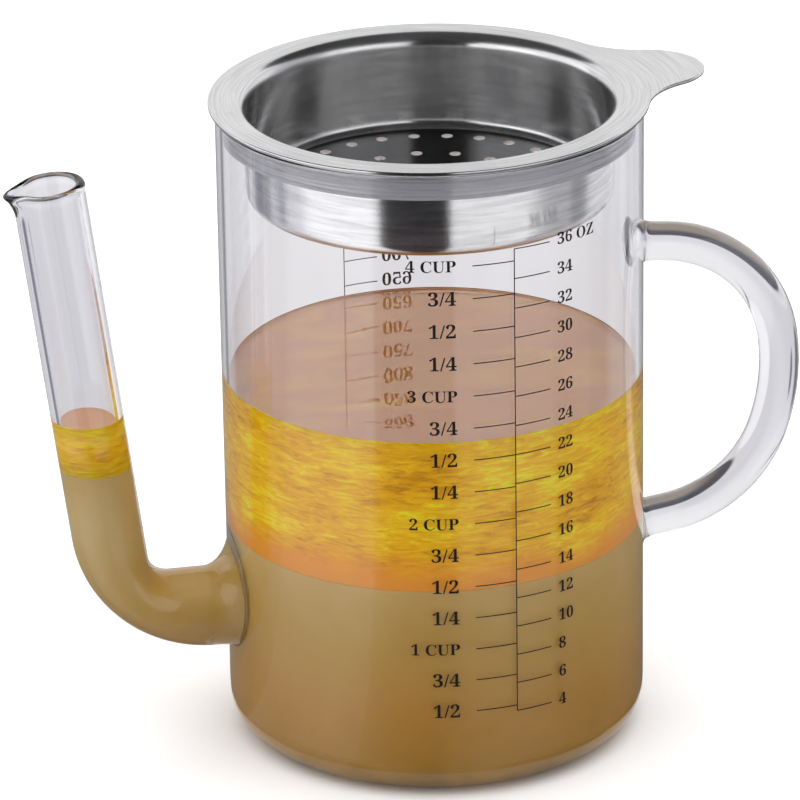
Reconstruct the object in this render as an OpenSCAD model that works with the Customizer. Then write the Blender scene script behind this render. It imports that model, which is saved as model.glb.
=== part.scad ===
// Gravy fat separator: a straight glass jug with a low spout tube, a glass rod
// handle, and a steel strainer that hangs in the mouth in a ribbed silicone ring.
// Millimetres. Origin at the centre of the base, +Z up, +X towards the handle.

/* [Jug] */
// Outer diameter of the jug
jug_d = 102; // [96:1:112]
// Height of the glass rim above the base
jug_h = 159.3; // [150:0.1:172]
// Thickness of the jug's side wall
jug_wall = 1.6; // [1.2:0.1:2.4]
// Thickness of the jug's base
base_t = 2.6; // [2:0.1:4]
// Outside radius between the base and the side wall
base_corner_r = 9; // [6:0.5:12]

/* [Spout] */
// Outer diameter of the spout tube
spout_d = 17.4; // [15:0.1:19]
// Wall of the spout tube
spout_wall = 2; // [1.2:0.1:2.4]
// Outer diameter of the tube where it leaves the jug, wider than the upright
spout_root_d = 19.6; // [17.5:0.1:21]
// Height of the tube's axis where it leaves the jug
spout_z = 34; // [26:0.5:45]
// Distance from the jug's wall to the upright's axis, at the height of the root
spout_gap = 27.1; // [26:0.1:32]
// Radius of the bend along the tube's outer side
spout_outer_r = 34.7; // [28:0.1:36]
// Radius of the bend along the tube's inner side, where the hot glass folds in
spout_inner_r = 5.5; // [4:0.5:12]
// Growth of the tube's radius where the bend meets the upright
spout_swell = 0.15; // [0.1:0.05:0.3]
// Lean of the upright away from the jug, in degrees
spout_lean = 7; // [4:0.5:10]
// Height of the pouring rim below the jug's glass rim
spout_drop = 12.6; // [6:0.1:30]
// Radius of the fillet of glass on top of the tube where it is welded to the jug
spout_weld_r = 8.5; // [4:0.5:9]
// How far the pouring lip stands out of the tube
lip_out = 2.2; // [1:0.1:3]
// Length of tube that the lip is drawn from
lip_len = 7; // [5:0.5:10]

/* [Handle] */
// Diameter of the handle's glass rod
rod_d = 9.8; // [8:0.1:12]
// Height of the upper joint below the jug's glass rim
handle_drop = 39.7; // [32:0.1:44]
// Downward slope of the rod at the upper joint, in degrees
handle_top_slope = 5; // [2:1:10]
// Upward slope of the rod at the lower joint, in degrees
handle_low_slope = 8; // [4:1:12]
// Straight length of rod at the upper joint
handle_run = 7.1; // [6:0.1:12]
// Radius of the rod's upper and lower bends, on its axis
handle_bend_r = 31; // [28:0.5:33]
// Growth of the rod's radius in its two bends
rod_swell = 0.1; // [0.05:0.05:0.3]
// Radius of the grip's shallow curve, on its axis
handle_grip_r = 53; // [45:1:60]
// Turn of the upper bend, in degrees
handle_bend_turn = 77; // [70:1:80]
// Turn of the grip's shallow curve, in degrees
handle_grip_turn = 26.6; // [20:0.2:32]
// Radius of the fillet of glass where the rod is welded to the jug
rod_weld_r = 3; // [1.5:0.5:4]

/* [Strainer] */
// How far the strainer's flange stands out past the jug's side
flange_over = 1.6; // [0.5:0.1:2.5]
// Thickness of the strainer's sheet steel
sheet_t = 0.9; // [0.6:0.1:1.2]
// Space between the strainer's wall and the glass, which the silicone ring fills
seal_gap = 4.8; // [4.5:0.1:8]
// Depth of the strainer from the top of its flange to the top of its floor
pan_depth = 23.4; // [16:0.1:30]
// Narrowing of the wall's radius from top to bottom
pan_taper = 0.6; // [0:0.1:1.5]
// Radius where the flange turns down into the wall, on the inside of the sheet
roll_r = 2.4; // [1.5:0.1:3]
// Radius of the corner between the wall and the floor, on the outside
pan_corner_r = 3; // [2:0.1:4]
// Reach of the thumb tab beyond the flange
tab_reach = 16.7; // [10:0.1:22]
// Radius of the tab's rounded end
tab_end_r = 13; // [9:0.5:14]
// Radius of the hollow curves that join the tab to the flange
tab_neck_r = 20; // [12:1:24]
// Angle of the tab from the handle, in degrees
tab_angle = 7.5; // [-30:0.5:30]
// Diameter of the drain holes
hole_d = 2.8; // [2:0.1:3.6]
// Number of rings of holes round the middle one
ring_count = 3; // [2:1:3]
// Distance from the outer ring of holes to the edge of the punched floor
ring_edge = 5; // [4:0.5:9]

/* [Seal] */
// Height of the silicone ring's band inside the mouth
seal_h = 6.2; // [5:0.1:9]
// Thickness of the silicone lip between the glass rim and the flange
seal_lip_t = 0.8; // [0.6:0.1:1.2]
// Distance that the silicone lip stops short of the jug's outside
seal_lip_inset = 0.5; // [0.3:0.1:1]
// Number of ribs round the band
rib_count = 3; // [2:1:4]
// Radius of each rib
rib_r = 0.5; // [0.3:0.1:0.6]

/* [Fits] */
// Clearance between curved faces of pieces that move past each other
slip = 0.3; // [0.2:0.05:0.5]
// Clearance between flat faces that seat on each other
seat = 0.1; // [0.05:0.05:0.2]

/* [Hidden] */
$fn = 96;

jug_r = jug_d / 2;
bore_r = jug_r - jug_wall;
base_in_r = base_corner_r - jug_wall;

spout_r = spout_d / 2;
spout_bore_r = spout_r - spout_wall;
spout_x = jug_r + spout_gap;
// Turn of the bend, from level to the leaning upright
bend_turn = 90 - spout_lean;
root_r = spout_root_d / 2;
// Distance along the upright from the root's height to the end of the bend
bend_rise = spout_outer_r * tan(bend_turn / 2) + spout_r * tan(spout_lean) - root_r / cos(spout_lean);
rim_z = jug_h - spout_drop;
upright_len = (rim_z - spout_z) / cos(spout_lean) - bend_rise;
spout_edge_r = spout_wall / 2;
// How far the weld's axis lies above the tube's
spout_weld_rise = spout_weld_r / 2;
// How far one stretch of tube or rod runs on inside the next, thicker one
lap = 1;
// How far a weld's narrow end dips into the tube or rod that it hugs
weld_dip = 0.3;
// How far a cut runs on past the face that it goes through
spare = 1;
// How far the lip's form starts inside the tube's round side
lip_sink = 0.4;

rod_r = rod_d / 2;
handle_z = jug_h - handle_drop;

// The stack at the mouth: glass rim, silicone lip, steel flange
lip_low_z = jug_h + seat;
lip_top_z = lip_low_z + seal_lip_t;
flange_low_z = lip_top_z + seat;
flange_top_z = flange_low_z + sheet_t;
flange_r = jug_r + flange_over;
pan_r = bore_r - seal_gap;
floor_top_z = flange_top_z - pan_depth;
floor_low_z = floor_top_z - sheet_t;
pan_low_r = pan_r - pan_taper;
ledge_r = pan_low_r - pan_corner_r;
ring_pitch = (ledge_r - ring_edge) / ring_count;
// Holes in each ring, from the inner one out
ring_holes = [8, 16, 28];

seal_in_r = pan_r + slip;
rib_tip_r = bore_r - slip;
band_r = rib_tip_r - rib_r;
seal_low_z = lip_low_z - seal_h;
rib_pitch = (seal_h - 2 * rib_r) / rib_count;

// A weld: radius r + f on the jug, drawn in to r by a hollow fillet. It starts on the jug's
// outside and has a skirt below, because the round side falls away from its wide end
module weld(r, f) {
    skirt = jug_r - sqrt(jug_r * jug_r - pow(r + f, 2)) + slip;
    rotate_extrude() difference() {
        translate([0, -skirt]) square([r + f, skirt + f]);
        translate([r + f, f]) circle(f);
    }
}

// ---- Jug ----

module jug_outline(r, low, corner) {
    // Half section of a round-cornered cup that is filled up to the rim
    translate([0, low + corner]) square([r, jug_h - low - corner]);
    translate([0, low]) square([r - corner, corner]);
    intersection() {
        translate([r - corner, low + corner]) circle(corner);
        translate([r - corner, low]) square(corner);
    }
}

module jug_body() {
    color([0.86, 0.93, 0.95, 0.4])
    difference() {
        union() {
            rotate_extrude() difference() {
                jug_outline(jug_r, 0, base_corner_r);
                jug_outline(bore_r, base_t, base_in_r);
                // The rim's own round replaces the square top
                translate([bore_r - spare, jug_h - jug_wall / 2]) square(jug_wall + 2 * spare);
            }
            translate([0, 0, jug_h - jug_wall / 2]) rotate_extrude()
                translate([jug_r - jug_wall / 2, 0]) circle(jug_wall / 2);
        }
        // Where the spout opens into the jug
        translate([-bore_r + jug_wall, 0, spout_z]) rotate([0, -90, 0])
            cylinder(r = root_r - spout_wall, h = 3 * jug_wall);
    }
}

// ---- Spout ----

module on_upright() {
    // Origin at the foot of the upright, +Z up along its axis
    translate([-spout_x, 0, spout_z]) rotate([0, -spout_lean, 0])
        translate([0, 0, bend_rise]) children();
}

// The bend is lofted through rings. Each ring spans from a point on the tube's inner side to
// one on its outer side, which turn through the same angle on arcs of their own
bend_steps = 10;
ring_sides = 28;

// How far along the root an arc of radius arc_r starts, where the tube's side lies off its
// axis by root_off at the root and by up_off at the upright (outer side positive)
function arc_start(arc_r, root_off, up_off) =
    spout_x + (up_off - arc_r + (arc_r - root_off) * sin(spout_lean)) / cos(spout_lean);

// A point on a side of the tube, after the bend has turned by t: distance out, height
function side_point(arc_r, root_off, up_off, t) = [
    arc_start(arc_r, root_off, up_off) + arc_r * sin(t),
    spout_z - root_off + arc_r * (1 - cos(t)),
];

// The same on the straight upright, at a distance along it
function upright_point(up_off, along) = [
    spout_x + along * sin(spout_lean) + up_off * cos(spout_lean),
    spout_z + along * cos(spout_lean) - up_off * sin(spout_lean),
];

function ring_points(inner, outer, half_width) = [
    for (i = [0 : ring_sides - 1])
        let (a = 360 * i / ring_sides, m = (inner + outer) / 2 + (outer - inner) / 2 * cos(a))
            [-m[0], half_width * sin(a), m[1]]
];

module spout_bend(root, up, outer_r, inner_r, start) {
    // From a level start inside the jug's side to the foot of the upright
    rings = concat(
        [ring_points([start, spout_z + root], [start, spout_z - root], root)],
        [for (k = [0 : bend_steps]) let (t = bend_turn * k / bend_steps) ring_points(
            side_point(inner_r, -root, -up, t),
            side_point(outer_r, root, up, t),
            root + (up - root) * k / bend_steps
        )],
        [ring_points(upright_point(-up, bend_rise + lap), upright_point(up, bend_rise + lap), up)]
    );
    last = len(rings) - 1;
    polyhedron(
        points = [for (ring = rings) each ring],
        faces = concat(
            [[for (i = [ring_sides - 1 : -1 : 0]) i]],
            [for (k = [0 : last - 1], i = [0 : ring_sides - 1]) let (
                a = k * ring_sides + i,
                b = k * ring_sides + (i + 1) % ring_sides
            ) each [[a, b, a + ring_sides], [b, b + ring_sides, a + ring_sides]]],
            [[for (i = [0 : ring_sides - 1]) last * ring_sides + i]]
        )
    );
}

module spout_solid(wall, extra) {
    // The run from the jug, the bend and the upright, filled
    spout_bend(
        root_r - wall, spout_r - wall + spout_swell,
        spout_outer_r - wall, spout_inner_r + wall, bore_r - extra
    );
    on_upright() cylinder(r = spout_r - wall, h = upright_len - spout_edge_r + extra);
}

module lip_form(r, out) {
    // The top of the tube drawn out to one side
    hull() {
        translate([0, 0, upright_len - lip_len])
            cylinder(r = r - lip_sink, h = lip_len - spout_edge_r, $fn = 32);
        translate([-r - out + spout_edge_r, 0, upright_len - 2 * spout_edge_r])
            cylinder(r = spout_edge_r, h = spout_edge_r, $fn = 16);
    }
}

module spout_tube() {
    color([0.86, 0.93, 0.95, 0.4])
    difference() {
        union() {
            spout_solid(0, 0);
            // The weld stands higher than the tube: its fillet is on top, and none is below
            translate([-jug_r, 0, spout_z + spout_weld_rise]) rotate([0, -90, 0])
                weld(root_r - spout_weld_rise - weld_dip, spout_weld_r);
            on_upright() lip_form(spout_r, lip_out);
            on_upright() translate([0, 0, upright_len - spout_edge_r]) rotate_extrude()
                translate([spout_r - spout_edge_r, 0]) circle(spout_edge_r);
        }
        spout_solid(spout_wall, spout_edge_r + spare);
        on_upright() translate([0, 0, spare]) lip_form(spout_bore_r, lip_out);
        // The root is cut to the jug's outside
        cylinder(r = jug_r, h = jug_h);
    }
}

// ---- Handle ----
// Each step of the rod is drawn in a frame that starts where the last one ended:
// +X runs along the rod and the rod bends down, clockwise seen from -Y

module rod_run(len) {
    rotate([0, 90, 0]) cylinder(r = rod_r, h = len);
}

module rod_bend(r, turn, swell) {
    translate([0, 0, -r]) rotate([90, 0, 0]) rotate([0, 0, 90 - turn])
        rotate_extrude(angle = turn) translate([r, 0]) circle(rod_r + swell);
}

module after_bend(r, turn) {
    translate([0, 0, -r]) rotate([0, turn, 0]) translate([0, 0, r]) children();
}

// The rod's heading below level after each step, and its distance from the jug's axis
a1 = handle_top_slope;
a2 = a1 + handle_bend_turn;
a3 = a2 + handle_grip_turn;
a4 = 180 - handle_low_slope;
run_x = jug_r + handle_run * cos(a1);
grip_x = run_x + handle_bend_r * (sin(a2) - sin(a1));
low_x = grip_x + handle_grip_r * (sin(a3) - sin(a2));
end_x = low_x + handle_bend_r * (sin(a4) - sin(a3));
low_run = (end_x - jug_r) / cos(handle_low_slope);
grip_lap = lap / handle_grip_r * 180 / PI;

module handle_rod() {
    color([0.86, 0.93, 0.95, 0.4])
    difference() {
        translate([jug_r, 0, handle_z]) rotate([0, a1, 0]) {
            translate([-jug_wall, 0, 0]) rod_run(handle_run + jug_wall + lap);
            rotate([0, 90, 0]) weld(rod_r - weld_dip, rod_weld_r);
            translate([handle_run, 0, 0]) {
                rod_bend(handle_bend_r, a2 - a1, rod_swell);
                after_bend(handle_bend_r, a2 - a1) {
                    after_bend(handle_grip_r, -grip_lap)
                        rod_bend(handle_grip_r, a3 - a2 + 2 * grip_lap, 0);
                    after_bend(handle_grip_r, a3 - a2) {
                        rod_bend(handle_bend_r, a4 - a3, rod_swell);
                        after_bend(handle_bend_r, a4 - a3) {
                            translate([-lap, 0, 0]) rod_run(lap + low_run + jug_wall);
                            translate([low_run, 0, 0]) rotate([0, -90, 0]) weld(rod_r - weld_dip, rod_weld_r);
                        }
                    }
                }
            }
        }
        cylinder(r = jug_r, h = jug_h);
    }
}

// ---- Strainer ----

module tab_outline() {
    // The flange's circle and the tab's end, joined by two hollow arcs
    end_x = flange_r + tab_reach - tab_end_r;
    neck_d = flange_r + tab_neck_r;
    neck_x = (neck_d * neck_d - pow(tab_end_r + tab_neck_r, 2) + end_x * end_x) / (2 * end_x);
    neck_y = sqrt(neck_d * neck_d - neck_x * neck_x);
    difference() {
        polygon([[0, 0], [neck_x, -neck_y], [end_x, 0], [neck_x, neck_y]]);
        for (s = [-1, 1]) translate([neck_x, s * neck_y]) circle(tab_neck_r);
    }
    translate([end_x, 0]) circle(tab_end_r);
    circle(flange_r);
}

module wall_section() {
    // The wall's sheet, from the roll under the flange to the ledge that holds the floor
    roll_z = flange_low_z - roll_r;
    corner_z = floor_low_z + pan_corner_r;
    polygon([
        [pan_r - sheet_t, roll_z], [pan_r, roll_z],
        [pan_low_r, corner_z], [pan_low_r - sheet_t, corner_z],
    ]);
    // The flange's inner edge, and the roll: a quarter ring that opens into it
    translate([pan_r + roll_r, flange_low_z]) square([lap, sheet_t]);
    translate([pan_r + roll_r, roll_z]) intersection() {
        difference() {
            circle(roll_r + sheet_t);
            circle(roll_r);
        }
        translate([-roll_r - sheet_t, 0]) square(roll_r + sheet_t);
    }
    // The corner at the foot of the wall
    translate([ledge_r, corner_z]) intersection() {
        difference() {
            circle(pan_corner_r);
            circle(pan_corner_r - sheet_t);
        }
        translate([0, -pan_corner_r]) square(pan_corner_r);
    }
}

module strainer_pan() {
    color([0.72, 0.73, 0.74])
    rotate([0, 0, tab_angle]) {
        translate([0, 0, flange_low_z]) linear_extrude(sheet_t) difference() {
            tab_outline();
            circle(pan_r + roll_r);
        }
        rotate_extrude() wall_section();
    }
}

module strainer_floor() {
    color([0.45, 0.46, 0.47])
    rotate([0, 0, tab_angle]) translate([0, 0, floor_low_z]) difference() {
        cylinder(r = ledge_r, h = sheet_t);
        translate([0, 0, -spare]) {
            cylinder(d = hole_d, h = sheet_t + 2 * spare, $fn = 24);
            // Every other ring starts half a step on
            for (ring = [1 : ring_count], i = [0 : ring_holes[ring - 1] - 1])
                rotate([0, 0, 360 * (i + (ring + 1) % 2 / 2) / ring_holes[ring - 1]])
                    translate([ring * ring_pitch, 0, 0])
                        cylinder(d = hole_d, h = sheet_t + 2 * spare, $fn = 24);
        }
    }
}

// ---- Seal ----

module seal_ring() {
    color([0.9, 0.91, 0.93, 0.8])
    rotate_extrude() {
        // The band in the mouth, chamfered inside at the top to clear the strainer's roll
        difference() {
            translate([seal_in_r, seal_low_z]) square([band_r - seal_in_r, lip_top_z - seal_low_z]);
            translate([pan_r + roll_r, flange_low_z - roll_r]) difference() {
                translate([-roll_r - slip, 0]) square(roll_r + slip);
                circle(roll_r - slip);
            }
        }
        translate([band_r - seal_lip_t, lip_low_z])
            square([jug_r - seal_lip_inset - band_r + seal_lip_t, seal_lip_t]);
        for (i = [0 : rib_count - 1])
            translate([band_r, seal_low_z + rib_r + i * rib_pitch]) intersection() {
                circle(rib_r);
                translate([-rib_r, -rib_r]) square(2 * rib_r);
            }
    }
}

jug_body();
spout_tube();
handle_rod();
seal_ring();
strainer_pan();
strainer_floor();
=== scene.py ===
import math

import bmesh
import bpy
from mathutils import Matrix, Vector


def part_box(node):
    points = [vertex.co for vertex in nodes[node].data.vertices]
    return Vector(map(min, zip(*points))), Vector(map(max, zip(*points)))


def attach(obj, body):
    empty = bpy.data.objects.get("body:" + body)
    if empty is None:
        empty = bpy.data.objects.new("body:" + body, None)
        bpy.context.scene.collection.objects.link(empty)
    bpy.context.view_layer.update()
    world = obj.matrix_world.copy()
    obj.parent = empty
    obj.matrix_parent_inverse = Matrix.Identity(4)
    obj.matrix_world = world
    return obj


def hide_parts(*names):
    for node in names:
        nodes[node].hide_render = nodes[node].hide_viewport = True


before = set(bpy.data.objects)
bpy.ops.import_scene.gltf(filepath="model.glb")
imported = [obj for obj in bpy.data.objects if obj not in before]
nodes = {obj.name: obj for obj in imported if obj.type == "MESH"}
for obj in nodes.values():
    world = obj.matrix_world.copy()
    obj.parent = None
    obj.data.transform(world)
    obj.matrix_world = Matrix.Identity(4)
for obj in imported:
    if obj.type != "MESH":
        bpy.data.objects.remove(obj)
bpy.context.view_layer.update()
print("frame loaded:", ", ".join(sorted(nodes)))

scene = bpy.context.scene
mm = 0.001
upright = Vector((0, 0, 1))


def addObject(name, mesh):
    piece = bpy.data.objects.new(name, mesh)
    scene.collection.objects.link(piece)
    return piece


def meshPiece(name, bm, body, materials, smooth=True):
    # bm becomes a finished object that rides on a body
    mesh = bpy.data.meshes.new(name)
    for face in bm.faces:
        face.smooth = smooth
    bm.to_mesh(mesh)
    bm.free()
    for material in materials:
        mesh.materials.append(material)
    piece = addObject(name, mesh)
    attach(piece, body)
    return piece


# camera: a long lens, well above the rim, a little left of the spout-to-handle plane's normal
cameraSet = {
    "place": (-0.25589, -1.27459, 0.62898),
    "aside": (0.98036, -0.19667, -0.01427),
    "up": (0.08907, 0.37714, 0.92186),
    "lens": 261.6,  # on a 36 mm sensor
}


def makeCamera(spec):
    aside = Vector(spec["aside"]).normalized()
    up = Vector(spec["up"])
    up = (up - aside * up.dot(aside)).normalized()
    back = aside.cross(up)
    data = bpy.data.cameras.new("camera")
    data.lens, data.sensor_width = spec["lens"], 36
    camera = addObject("camera", data)
    turn = Matrix((aside, up, back)).transposed().to_4x4()
    camera.matrix_world = Matrix.Translation(spec["place"]) @ turn
    scene.camera = camera


makeCamera(cameraSet)
toCamera = Vector(cameraSet["place"]).xy.normalized()
print("camera set")


def newMaterial(name):
    material = bpy.data.materials.new(name)
    material.use_nodes = True
    tree = material.node_tree
    shader = tree.nodes["Principled BSDF"]
    return material, tree, shader


def node(tree, kind, **values):
    made = tree.nodes.new("ShaderNode" + kind)
    for key, value in values.items():
        if key in made.inputs:
            made.inputs[key].default_value = value
        else:
            setattr(made, key, value)
    return made


def link(tree, source, target):
    tree.links.new(source, target)


def ramp(tree, source, stops):
    # stops: (place, colour) pairs
    made = tree.nodes.new("ShaderNodeValToRGB")
    elements = made.color_ramp.elements
    while len(elements) < len(stops):
        elements.new(0.5)
    for element, (place, colour) in zip(elements, stops):
        element.position = place
        element.color = (*colour, 1)
    link(tree, source, made.inputs["Fac"])
    return made.outputs["Color"]


def objectPoint(tree, scale=(1, 1, 1)):
    place = node(tree, "TexCoord")
    mapping = node(tree, "Mapping")
    mapping.inputs["Scale"].default_value = scale
    link(tree, place.outputs["Object"], mapping.inputs["Vector"])
    return mapping.outputs["Vector"]


def around(tree, ringScale, riseScale, roundScale=0.0):
    # a pattern's point that follows the part's axis: distance from it, height and turn
    place = node(tree, "TexCoord")
    parts = node(tree, "SeparateXYZ")
    link(tree, place.outputs["Object"], parts.inputs["Vector"])
    flat = node(tree, "CombineXYZ")
    link(tree, parts.outputs["X"], flat.inputs["X"])
    link(tree, parts.outputs["Y"], flat.inputs["Y"])
    length = node(tree, "VectorMath", operation="LENGTH")
    link(tree, flat.outputs["Vector"], length.inputs[0])
    turn = node(tree, "Math", operation="ARCTAN2")
    link(tree, parts.outputs["Y"], turn.inputs[0])
    link(tree, parts.outputs["X"], turn.inputs[1])
    joined = node(tree, "CombineXYZ")
    for source, scale, slot in (
        (length.outputs["Value"], ringScale, "X"),
        (turn.outputs["Value"], roundScale, "Y"),
        (parts.outputs["Z"], riseScale, "Z"),
    ):
        times = node(tree, "Math", operation="MULTIPLY")
        times.inputs[1].default_value = scale
        link(tree, source, times.inputs[0])
        link(tree, times.outputs["Value"], joined.inputs[slot])
    return joined.outputs["Vector"]


def bump(tree, shader, height, strength, distance):
    made = node(tree, "Bump", Strength=strength, Distance=distance)
    link(tree, height, made.inputs["Height"])
    link(tree, made.outputs["Normal"], shader.inputs["Normal"])


def makeClearGlass(name, colour):
    # refracts as real glass does; the drawn tube and rod are a touch greyer than the blown wall
    material, tree, shader = newMaterial(name)
    shader.inputs["Base Color"].default_value = (*colour, 1)
    shader.inputs["Transmission Weight"].default_value = 1
    shader.inputs["Roughness"].default_value = 0.0
    shader.inputs["IOR"].default_value = 1.47
    return material


def makeBrushedSteel(name, colour, roughness, streak):
    # spun steel: fine rings on the flat flange, longer level lines on the upright wall
    material, tree, shader = newMaterial(name)
    shader.inputs["Metallic"].default_value = 1
    shader.inputs["Anisotropic"].default_value = 0.85
    shader.inputs["Anisotropic Rotation"].default_value = 0.25
    tangent = node(tree, "Tangent", direction_type="RADIAL", axis="Z")
    link(tree, tangent.outputs["Tangent"], shader.inputs["Tangent"])
    lines = node(tree, "TexNoise", Scale=1.0, Detail=3.0, Roughness=0.6)
    link(tree, around(tree, 2600, 950, 2.6), lines.inputs["Vector"])
    cloud = node(tree, "TexNoise", Scale=90.0, Detail=3.0)
    link(tree, objectPoint(tree), cloud.inputs["Vector"])
    dark = tuple(c * (1 - streak) for c in colour)
    tone = ramp(tree, lines.outputs["Fac"], [(0.32, dark), (0.62, colour)])
    link(tree, tone, shader.inputs["Base Color"])
    rough = node(tree, "MapRange")
    rough.inputs["To Min"].default_value = roughness * 0.8
    rough.inputs["To Max"].default_value = roughness * 1.25
    link(tree, cloud.outputs["Fac"], rough.inputs["Value"])
    link(tree, rough.outputs["Result"], shader.inputs["Roughness"])
    bump(tree, shader, lines.outputs["Fac"], 0.3, 0.00002)
    return material


def makePunchedSteel():
    # the sheet between the holes is dull and painted dark, as painted shade; the punched walls of the
    # holes are painted bright, as painted light
    material, tree, shader = newMaterial("punched_steel")
    shader.inputs["Metallic"].default_value = 1
    shader.inputs["Anisotropic"].default_value = 0.6
    shader.inputs["Anisotropic Rotation"].default_value = 0.25
    tangent = node(tree, "Tangent", direction_type="RADIAL", axis="Z")
    link(tree, tangent.outputs["Tangent"], shader.inputs["Tangent"])
    parts = node(tree, "SeparateXYZ")
    link(tree, node(tree, "NewGeometry").outputs["True Normal"], parts.inputs["Vector"])
    flat = node(tree, "Math", operation="ABSOLUTE")
    link(tree, parts.outputs["Z"], flat.inputs[0])
    lines = node(tree, "TexNoise", Scale=1.0, Detail=3.0)
    link(tree, around(tree, 1500, 1500, 2.0), lines.inputs["Vector"])
    # painted shade: the dark tones of the flat sheet
    sheet = ramp(tree, lines.outputs["Fac"], [(0.3, (0.045, 0.045, 0.047)), (0.7, (0.085, 0.085, 0.088))])
    # upright hole walls take the painted light, flat faces the painted shade
    mix = node(tree, "Mix", data_type="RGBA")
    link(tree, flat.outputs["Value"], mix.inputs["Factor"])
    mix.inputs[6].default_value = (0.95, 0.95, 0.95, 1)
    link(tree, sheet, mix.inputs[7])
    link(tree, mix.outputs[2], shader.inputs["Base Color"])
    rough = node(tree, "MapRange")
    rough.inputs["To Min"].default_value = 0.75
    rough.inputs["To Max"].default_value = 0.2
    link(tree, flat.outputs["Value"], rough.inputs["Value"])
    link(tree, rough.outputs["Result"], shader.inputs["Roughness"])
    return material


def makeSilicone():
    # cloudy and soft looking, with a very fine grain
    material, tree, shader = newMaterial("cloudy_silicone")
    shader.inputs["Base Color"].default_value = (0.96, 0.96, 1.0, 1)
    shader.inputs["Transmission Weight"].default_value = 0.5
    shader.inputs["Roughness"].default_value = 0.25
    shader.inputs["IOR"].default_value = 1.3
    cloud = node(tree, "TexNoise", Scale=700.0, Detail=4.0)
    link(tree, objectPoint(tree), cloud.inputs["Vector"])
    bump(tree, shader, cloud.outputs["Fac"], 0.15, 0.0001)
    return material


def makeGravy():
    # pan juices: paler under the fat, browner towards the base, partly their own colour and partly painted
    # shade low in the jug
    material, tree, shader = newMaterial("brown_gravy")
    parts = node(tree, "SeparateXYZ")
    link(tree, objectPoint(tree), parts.inputs["Vector"])
    cloud = node(tree, "TexNoise", Scale=45.0, Detail=4.0, Distortion=0.6)
    link(tree, objectPoint(tree), cloud.inputs["Vector"])
    drift = node(tree, "Math", operation="MULTIPLY_ADD")
    drift.inputs[1].default_value = 0.022
    link(tree, cloud.outputs["Fac"], drift.inputs[0])
    link(tree, parts.outputs["Z"], drift.inputs[2])
    level = node(tree, "MapRange")
    level.inputs["From Min"].default_value = 0.010
    level.inputs["From Max"].default_value = 0.070
    link(tree, drift.outputs["Value"], level.inputs["Value"])
    # dark low stops: partly the juices' own colour, partly painted shade towards the base
    tone = ramp(tree, level.outputs["Result"], [
        (0.0, (0.30, 0.16, 0.015)), (0.12, (0.51, 0.27, 0.03)), (0.35, (0.61, 0.325, 0.05)),
        (0.7, (0.67, 0.43, 0.105)), (1.0, (0.75, 0.55, 0.215)),
    ])
    link(tree, tone, shader.inputs["Base Color"])
    shader.inputs["Roughness"].default_value = 0.3
    shader.inputs["Subsurface Weight"].default_value = 0.2
    shader.inputs["Subsurface Radius"].default_value = (0.004, 0.002, 0.001)
    shader.inputs["Subsurface Scale"].default_value = 1.0
    return material


def makeFat():
    # amber melted fat with drawn-out streaks, orange where the gravy shows through its foot
    material, tree, shader = newMaterial("amber_fat")
    streaks = node(tree, "TexNoise", Scale=1.0, Detail=8.0, Roughness=0.66, Distortion=0.9)
    link(tree, objectPoint(tree, (165, 165, 880)), streaks.inputs["Vector"])
    pools = node(tree, "TexNoise", Scale=38.0, Detail=2.0)
    link(tree, objectPoint(tree, (1, 1, 2.2)), pools.inputs["Vector"])
    mixed = node(tree, "Math", operation="MULTIPLY_ADD")
    mixed.inputs[1].default_value = 0.6
    link(tree, streaks.outputs["Fac"], mixed.inputs[0])
    half = node(tree, "Math", operation="MULTIPLY")
    half.inputs[1].default_value = 0.4
    link(tree, pools.outputs["Fac"], half.inputs[0])
    link(tree, half.outputs["Value"], mixed.inputs[2])
    amber = ramp(tree, mixed.outputs["Value"], [
        (0.36, (0.56, 0.25, 0.003)), (0.46, (0.86, 0.46, 0.005)), (0.55, (0.96, 0.62, 0.008)),
        (0.64, (1.0, 0.90, 0.03)),
    ])
    parts = node(tree, "SeparateXYZ")
    link(tree, objectPoint(tree), parts.inputs["Vector"])
    wave = node(tree, "Math", operation="MULTIPLY_ADD")
    wave.inputs[1].default_value = 0.010
    link(tree, pools.outputs["Fac"], wave.inputs[0])
    link(tree, parts.outputs["Z"], wave.inputs[2])
    foot = node(tree, "MapRange")
    foot.inputs["From Min"].default_value = 0.0615
    foot.inputs["From Max"].default_value = 0.0700
    link(tree, wave.outputs["Value"], foot.inputs["Value"])
    mix = node(tree, "Mix", data_type="RGBA")
    link(tree, foot.outputs["Result"], mix.inputs["Factor"])
    mix.inputs[6].default_value = (0.90, 0.37, 0.045, 1)
    link(tree, amber, mix.inputs[7])
    link(tree, mix.outputs[2], shader.inputs["Base Color"])
    link(tree, mix.outputs[2], shader.inputs["Emission Color"])
    shader.inputs["Emission Strength"].default_value = 0.10  # stands for light from behind
    shader.inputs["Roughness"].default_value = 0.2
    shader.inputs["Subsurface Weight"].default_value = 0.25
    shader.inputs["Subsurface Radius"].default_value = (0.006, 0.003, 0.0006)
    shader.inputs["Subsurface Scale"].default_value = 1.0
    return material


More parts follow.
